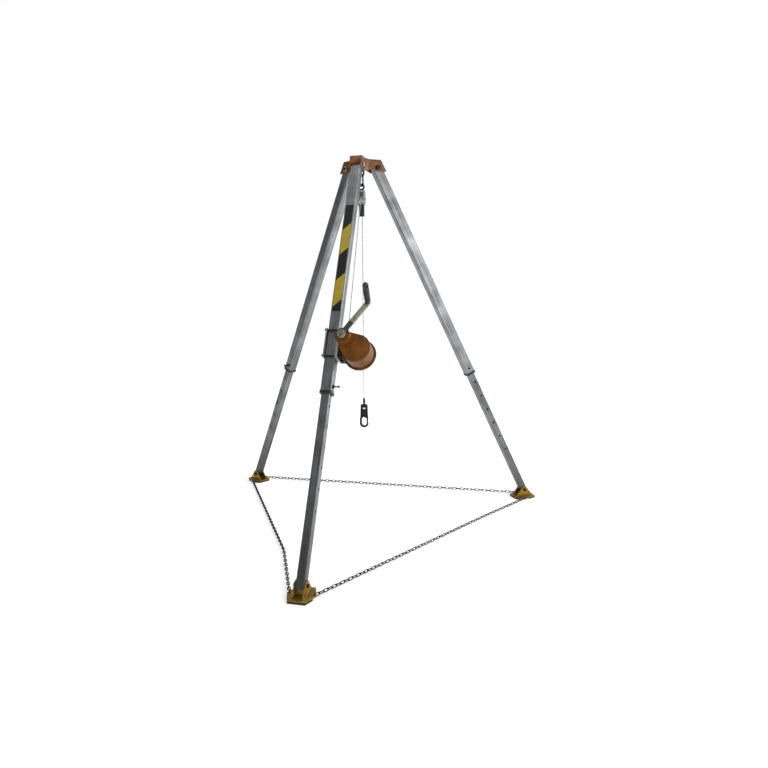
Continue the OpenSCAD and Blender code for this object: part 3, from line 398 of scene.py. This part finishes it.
# Fillet welds join the cheeks to the plate: a row of overlapping ripples, 3 mm apart.
ripple = bpy.data.meshes.new("weld_ripple")
made = bmesh.new()
ripple_radius, ripple_squeeze = 0.0029, 0.8
bmesh.ops.create_icosphere(made, subdivisions=1, radius=ripple_radius)
bmesh.ops.scale(made, vec=(1.0, 1.0, ripple_squeeze), verts=made.verts)
for face in made.faces:
    face.smooth = True
made.to_mesh(ripple)
made.free()
row_tree = bpy.data.node_groups.new("row_along_a_path", "GeometryNodeTree")
row_tree.interface.new_socket("Path", in_out="INPUT", socket_type="NodeSocketGeometry")
row_inputs = {
    title: row_tree.interface.new_socket(title, in_out="INPUT", socket_type=kind).identifier
    for title, kind in (("Count", "NodeSocketInt"), ("Shape", "NodeSocketObject"),
                        ("Odd Turn", "NodeSocketFloat"), ("Finish", "NodeSocketMaterial"))
}
row_tree.interface.new_socket("Row", in_out="OUTPUT", socket_type="NodeSocketGeometry")
given = put(row_tree, "NodeGroupInput")
upright = put(row_tree, "GeometryNodeSetCurveNormal", {"Curve": given.outputs["Path"]}, mode="Z_UP")
spots = put(row_tree, "GeometryNodeCurveToPoints",
            {"Curve": upright.outputs["Curve"], "Count": given.outputs["Count"]}, mode="COUNT")
shape = put(row_tree, "GeometryNodeObjectInfo", {"Object": given.outputs["Shape"]})
placed = put(row_tree, "GeometryNodeInstanceOnPoints", {
    "Points": spots.outputs["Points"], "Instance": shape.outputs["Geometry"],
    "Rotation": spots.outputs["Rotation"]})
order = put(row_tree, "GeometryNodeInputIndex")
odd = put(row_tree, "ShaderNodeMath", {0: order.outputs["Index"], 1: 2.0}, operation="MODULO")
share = put(row_tree, "ShaderNodeMath", {
    0: odd.outputs[0], 1: given.outputs["Odd Turn"]}, operation="MULTIPLY")
twist = put(row_tree, "ShaderNodeCombineXYZ", {"Z": share.outputs[0]})
turned = put(row_tree, "GeometryNodeRotateInstances",
             {"Instances": placed.outputs["Instances"], "Rotation": twist.outputs["Vector"]})
real = put(row_tree, "GeometryNodeRealizeInstances", {"Geometry": turned.outputs["Instances"]})
dressed = put(row_tree, "GeometryNodeSetMaterial",
              {"Geometry": real.outputs["Geometry"], "Material": given.outputs["Finish"]})
put(row_tree, "NodeGroupOutput", {"Row": dressed.outputs["Geometry"]})


def row_along(name, route, count, shape_mesh, odd_turn, material):
    """One shape repeated along a route, every other one turned, as one plain mesh."""
    curve = bpy.data.curves.new(name + "_route", "CURVE")
    curve.dimensions = "3D"
    line = curve.splines.new("POLY")
    line.points.add(len(route) - 1)
    for point, spot in zip(line.points, route):
        point.co = (*spot, 1.0)
    path = bpy.data.objects.new(name + "_route", curve)
    shape = bpy.data.objects.new(name + "_shape", shape_mesh)
    scene.collection.objects.link(path)
    scene.collection.objects.link(shape)
    grower = path.modifiers.new("row", "NODES")
    grower.node_group = row_tree
    grower[row_inputs["Count"]] = count
    grower[row_inputs["Shape"]] = shape
    grower[row_inputs["Odd Turn"]] = odd_turn
    grower[row_inputs["Finish"]] = material
    evaluated = path.evaluated_get(bpy.context.evaluated_depsgraph_get())
    piece = bpy.data.objects.new(name, bpy.data.meshes.new_from_object(evaluated))
    bpy.data.objects.remove(path)
    bpy.data.objects.remove(shape)
    scene.collection.objects.link(piece)
    return piece


ankle_out = 1.0923805
weld_side, weld_half, weld_height, weld_ripples = 0.0285, 0.058, 0.0165, 40
for leg_name, turn in leg_turns.items():
    outwards = Matrix.Rotation(math.radians(turn + 90), 3, "Z")
    for side in (-1, 1):
        ends = [stand_axis + outwards @ Vector((side * weld_side, y - ankle_out, weld_height))
                for y in (-weld_half, weld_half)]
        weld = row_along(f"{leg_name}_weld_{'near' if side < 0 else 'far'}", ends, weld_ripples, ripple, 0.0,
                         yellow_zinc)
        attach(weld, leg_name + "_foot")
    softened(leg_name + "_foot_shoe", 0.0012, yellow_zinc)
    softened(leg_name + "_foot_sole", 0.0015, sole_rubber)
    softened(leg_name + "_ankle_bolt", 0.001, black_oxide)


# Winch
# A spur-geared hand winch: a steel plate frame clamped to the front leg, an orange cover over drum
# and gears, and a ratchet boss that the crank turns in.
softened("winch_clamp", 0.001, zinc_plate)
softened("winch_frame", 0.001, zinc_plate)
softened("winch_bolts", 0.0008, black_oxide)
softened("winch_cover", 0.003, orange_enamel, 3)
finished(black_nylon, "rope_fairlead")

# Oiled sintered bronze: brown gold, darkened by oil in patches of 7 mm.
oiled_bronze, tree, shader, at = finish_named("oiled_bronze", Metallic=1.0)
oil = put(tree, "ShaderNodeTexNoise", {"Vector": at, "Scale": 140.0, "Detail": 3.0})
tone = put(tree, "ShaderNodeValToRGB", {"Fac": oil.outputs["Fac"]},
           stops=((0.0, "#6B4E22"), (1.0, "#B08A4A")))
tree.links.new(tone.outputs["Color"], shader.inputs["Base Color"])
sheen = put(tree, "ShaderNodeMapRange", {"Value": oil.outputs["Fac"], "To Min": 0.25, "To Max": 0.45})
tree.links.new(sheen.outputs["Result"], shader.inputs["Roughness"])
finished(oiled_bronze, "winch_bushes")

# Turned and hobbed steel: bright grey under a film of grease, in clouds of 12 mm.
machined_steel, tree, shader, at = finish_named("machined_steel", Metallic=1.0)
grease = put(tree, "ShaderNodeTexNoise", {"Vector": at, "Scale": 80.0, "Detail": 4.0})
tone = put(tree, "ShaderNodeValToRGB", {"Fac": grease.outputs["Fac"]},
           stops=((0.0, "#5E6062"), (1.0, "#9C9FA1")))
tree.links.new(tone.outputs["Color"], shader.inputs["Base Color"])
sheen = put(tree, "ShaderNodeMapRange", {"Value": grease.outputs["Fac"], "To Min": 0.22, "To Max": 0.42})
tree.links.new(sheen.outputs["Result"], shader.inputs["Roughness"])
finished(machined_steel, "winch_drum", "drum_gear", "drum_shaft", "pinion", "ratchet_wheel", "pawl",
         "crank_shaft")


# Crank and grip
# A flat steel arm in grey-green enamel on the crank shaft, dipped black beside its hub. Its black
# moulded grip turns on a pin, has rings for the fingers, and ends in an eye for a lanyard.

# Stoved enamel: grey green and half gloss, uneven in clouds of 20 mm, with a plain black dip.
crank_joint = next(j for j in frame["record"]["behaviour"]["joints"] if j["name"] == "crank_turn")
arm_middle, hub_radius, dip_radius = 0.046, 0.0215, 0.078
crank_hub = Vector(crank_joint["pos_m"]) + arm_middle * Vector(crank_joint["axis"])
crank_enamel, tree, shader, at = finish_named("grey_green_enamel", Coat_Weight=0.2)
cloud = put(tree, "ShaderNodeTexNoise", {"Vector": at, "Scale": 50.0, "Detail": 4.0})
tone = put(tree, "ShaderNodeValToRGB", {"Fac": cloud.outputs["Fac"]},
           stops=((0.3, "#5F6354"), (0.72, "#8A8D7C")))
reach = put(tree, "ShaderNodeVectorMath", {0: at, 1: crank_hub}, operation="DISTANCE")
past_hub = put(tree, "ShaderNodeMath", {0: reach.outputs["Value"], 1: hub_radius}, operation="GREATER_THAN")
in_dip = put(tree, "ShaderNodeMath", {0: reach.outputs["Value"], 1: dip_radius}, operation="LESS_THAN")
dipped = put(tree, "ShaderNodeMath", {0: past_hub.outputs[0], 1: in_dip.outputs[0]}, operation="MULTIPLY")
mixed = put(tree, "ShaderNodeMix", {0: dipped.outputs[0], 6: tone.outputs["Color"], 7: linear("#1A1A18")},
            data_type="RGBA")
tree.links.new(mixed.outputs[2], shader.inputs["Base Color"])
sheen = put(tree, "ShaderNodeMapRange", {"Value": cloud.outputs["Fac"], "To Min": 0.5, "To Max": 0.3})
tree.links.new(sheen.outputs["Result"], shader.inputs["Roughness"])
softened("crank_arm", 0.0015, crank_enamel)
softened("crank_grip", 0.003, black_nylon, 3)
grip_joint = next(j for j in frame["record"]["behaviour"]["joints"] if j["name"] == "grip_turn")
grip_line = Vector(grip_joint["axis"])
finger_ring = bpy.data.meshes.new("finger_ring")
made = bmesh.new()
ring_radius, ring_rise, ring_half = 0.0138, 0.0013, 0.0022
around, across = 24, 6
rings = [[made.verts.new(Vector((math.cos(a), math.sin(a), 0)) * (ring_radius + ring_rise * math.cos(b))
                         + Vector((0, 0, ring_half * math.sin(b))))
          for b in (2 * math.pi * k / across for k in range(across))]
         for a in (2 * math.pi * j / around for j in range(around))]
for j in range(around):
    for k in range(across):
        this, other, after = rings[j], rings[(j + 1) % around], (k + 1) % across
        made.faces.new((this[k], other[k], other[after], this[after])).smooth = True
bmesh.ops.recalc_face_normals(made, faces=made.faces)
made.to_mesh(finger_ring)
made.free()
first_ring, last_ring, ring_count = 0.030, 0.115, 9
ribs = [Vector(grip_joint["pos_m"]) + grip_line * along for along in (first_ring, last_ring)]
grip_rings = row_along("grip_finger_rings", ribs, ring_count, finger_ring, 0.0, black_nylon)
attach(grip_rings, "grip")


# Wire rope, from the winch over the block's sheave
# Galvanised steel, six strands laid round a core, 5 mm thick. It leaves the drum, runs through a
# fairlead to the sheave, turns over it and drops to the hook's socket.
rope_d = 0.005
sheave_at = Vector((0.0, stand_axis.y, 1.876))
sheave_r = 0.026
drum_point = Vector((0.0675, -0.3064439, 1.0359761))
to_winch = Vector((drum_point.x, drum_point.y - stand_axis.y, 0.0))
rope_reach, rope_drop = to_winch.length, drum_point.z - sheave_at.z
to_winch.normalize()
lead_angle = math.atan2(rope_drop, rope_reach) + math.acos(sheave_r / math.hypot(rope_reach, rope_drop))


def on_sheave(angle):
    """A point of the rope's centre line on the sheave."""
    return sheave_at + sheave_r * (to_winch * math.cos(angle) + Vector((0, 0, math.sin(angle))))


lead_steps, wrap_steps, fall_steps = 14, 12, 15
lead_route = [drum_point.lerp(on_sheave(lead_angle), i / lead_steps) for i in range(lead_steps)]
lead_route += [on_sheave(lead_angle + (math.pi - lead_angle) * i / wrap_steps) for i in range(wrap_steps + 1)]
fall_top, fall_low = on_sheave(math.pi), 0.7154
fall_heights = [fall_top.z - (fall_top.z - fall_low) * i / fall_steps for i in range(fall_steps + 1)]
fall_route = [Vector((fall_top.x, fall_top.y, height)) for height in fall_heights]


def route_length(route):
    """The length of a line of points."""
    return sum((b - a).length for a, b in zip(route, route[1:]))


def laid_rope(name, route, strands=6, lay=0.036, ring_step=0.003, sides=18, valley=0.84):
    """A rope's mesh: a lobed outline that turns once in each lay along the route."""
    total = route_length(route)
    steps = max(2, round(total / ring_step))
    made = bmesh.new()
    previous = side = None
    at_point, done = 0, 0.0
    for k in range(steps + 1):
        want = total * k / steps
        while at_point < len(route) - 2 and done + (route[at_point + 1] - route[at_point]).length < want:
            done += (route[at_point + 1] - route[at_point]).length
            at_point += 1
        run = (route[at_point + 1] - route[at_point]).normalized()
        centre = route[at_point] + run * (want - done)
        side = run.orthogonal() if side is None else side - run * side.dot(run)
        side.normalize()
        other = run.cross(side)
        turn = 2 * math.pi * want / lay
        ring = []
        for j in range(sides):
            angle = 2 * math.pi * j / sides
            lobe = abs(math.cos(strands * (angle - turn) / 2))
            radius = rope_d / 2 * (valley + (1 - valley) * lobe)
            ring.append(made.verts.new(centre + radius * (side * math.cos(angle) + other * math.sin(angle))))
        if previous:
            for j in range(sides):
                made.faces.new((previous[j], previous[(j + 1) % sides], ring[(j + 1) % sides], ring[j]))
        else:
            made.faces.new(ring[::-1])
        previous = ring
    made.faces.new(previous)
    for face in made.faces:
        face.smooth = True
    mesh = bpy.data.meshes.new(name)
    made.to_mesh(mesh)
    made.free()
    piece = bpy.data.objects.new(name, mesh)
    scene.collection.objects.link(piece)
    return piece


# Zinc on drawn wire: a dull silver, with dark grease in patches of 4.5 mm and a fine grit.
galvanised_wire, tree, shader, at = finish_named("galvanised_wire_rope", Metallic=0.85)
dirt = put(tree, "ShaderNodeTexNoise", {"Vector": at, "Scale": 220.0, "Detail": 3.0})
tone = put(tree, "ShaderNodeValToRGB", {"Fac": dirt.outputs["Fac"]},
           stops=((0.3, "#6E706F"), (0.62, "#B4B7B7")))
tree.links.new(tone.outputs["Color"], shader.inputs["Base Color"])
sheen = put(tree, "ShaderNodeMapRange", {"Value": dirt.outputs["Fac"], "To Min": 0.55, "To Max": 0.35})
tree.links.new(sheen.outputs["Result"], shader.inputs["Roughness"])
grit = put(tree, "ShaderNodeTexNoise", {"Vector": at, "Scale": 1400.0})
rise = put(tree, "ShaderNodeBump", {"Height": grit.outputs["Fac"], "Strength": 0.3, "Distance": 0.0003})
tree.links.new(rise.outputs["Normal"], shader.inputs["Normal"])

rope_lead = laid_rope("wire_rope_lead", lead_route)
rope_lead.data.materials.append(galvanised_wire)
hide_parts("rope_lead")
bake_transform(rope_lead)
rope_socket = softened("rope_socket", 0.0012, black_oxide)
rope_fall = laid_rope("wire_rope_fall", fall_route)
rope_fall.data.materials.append(galvanised_wire)
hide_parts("rope_fall")
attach(rope_fall, "head")
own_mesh(rope_fall)
finished(galvanised_wire, "wound_rope")


# Hook
# A forged swivel snap hook with a sprung gate, black oxide all over, on the socket that is pressed
# on the rope's end.
softened("snap_hook", 0.003, black_oxide, 3)
softened("hook_gate", 0.0005, black_oxide)


# Ground chains, from foot to foot
# Short-link welded chain of 5 mm wire, blackened by handling. Its end links go through the eyes
# of the foot plates, and it runs in a slack line close to the ground so that the feet can't spread.
# From each foot, it is made in three runs: an end, a rise and a run.
wire_r = 0.0025
link_inner, link_gap = 0.026, 0.008
link_bend = link_gap / 2 + wire_r
link_straight = link_inner - link_gap
link_outer = link_inner + 2 * wire_r
eye_side, eye_height, eye_width = 0.057, 0.013, 0.013

# Blackened steel: dark grey and half dull, mottled in patches of 11 mm.
chain_steel, tree, shader, at = finish_named("blackened_chain_steel", Metallic=0.9)
mottle = put(tree, "ShaderNodeTexNoise", {"Vector": at, "Scale": 90.0, "Detail": 4.0})
tone = put(tree, "ShaderNodeValToRGB", {"Fac": mottle.outputs["Fac"]},
           stops=((0.35, "#1B1B1D"), (0.7, "#4A4846")))
tree.links.new(tone.outputs["Color"], shader.inputs["Base Color"])
sheen = put(tree, "ShaderNodeMapRange", {"Value": mottle.outputs["Fac"], "To Min": 0.6, "To Max": 0.38})
tree.links.new(sheen.outputs["Result"], shader.inputs["Roughness"])

link_mesh = bpy.data.meshes.new("chain_link")
made = bmesh.new()
rings = []
bend_steps, wire_sides = 7, 6
for k in range(2 * bend_steps):
    half, part = divmod(k, bend_steps)
    angle = math.pi * part / (bend_steps - 1) + math.pi * half
    out = Vector((0, math.cos(angle), math.sin(angle)))
    centre = link_bend * out + Vector((0, 0, link_straight / 2 if half == 0 else -link_straight / 2))
    rings.append([made.verts.new(centre + wire_r * (out * math.cos(a) + Vector((1, 0, 0)) * math.sin(a)))
                  for a in (2 * math.pi * j / wire_sides for j in range(wire_sides))])
for k in range(2 * bend_steps):
    for j in range(wire_sides):
        this, other, after = rings[k], rings[(k + 1) % (2 * bend_steps)], (j + 1) % wire_sides
        made.faces.new((this[j], other[j], other[after], this[after])).smooth = True
bmesh.ops.recalc_face_normals(made, faces=made.faces)
made.to_mesh(link_mesh)
made.free()


def chain_eye(leg_name, side):
    """The centre of a chain's eye in a foot plate."""
    turn = math.radians(leg_turns[leg_name] + 90)
    return stand_axis + Vector((
        ankle_out * math.sin(turn) + side * eye_side * math.cos(turn),
        -ankle_out * math.cos(turn) + side * eye_side * math.sin(turn), eye_height))


eye_play, link_play = 0.0014, 0.0006
eye_seat = eye_width / 2 - wire_r - eye_play
slack_at = 0.74
end_links, rise_links = 6, 16
for name, near, near_side, far, far_side, bow in (
    ("left_chain", "left", 1, "front", -1, 0.042),
    ("right_chain", "front", 1, "right", -1, 0.010),
    ("back_chain", "right", 1, "left", -1, 0.0),
):
    first, last = chain_eye(near, near_side), chain_eye(far, far_side)
    span = (last - first).length
    along = (last - first) / span
    aside = Vector((-along.y, along.x, 0.0))
    gaps = 2 * round((span - 2 * eye_seat - link_outer) / (link_inner - link_play) / 2)
    step = (span - 2 * eye_seat - link_outer) / gaps

    def slack(u):
        """The share of the chain's bow at a distance along it."""
        return min(u / slack_at, (span - u) / (1 - slack_at)) / span

    def lying(u):
        """A point of the chain's centre line, with the bow's corner eased."""
        eased = sum(slack(u + shift * link_outer) for shift in (-1, 0, 1)) / 3
        return first + along * u + aside * bow * eased

    reaches = [eye_seat + link_outer / 2 + i * step for i in range(gaps + 1)]
    middle = gaps // 2 + 1 - (gaps // 2 + 1) % 2
    for leg_name, own, way in ((near, reaches[:middle], 1), (far, reaches[:middle - 1:-1], -1)):
        cuts = (0, end_links, end_links + rise_links, len(own))
        half_link = way * link_outer / 2
        for i, run in enumerate(("end", "rise", "run")):
            links = own[cuts[i]:cuts[i + 1]]
            route = [lying(u) for u in (links[0] - half_link, *links, links[-1] + half_link)]
            piece = row_along(f"{name}_{leg_name}_{run}", route[1:-1], len(links), link_mesh, math.pi / 2,
                              chain_steel)
            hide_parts(name)
            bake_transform(piece)
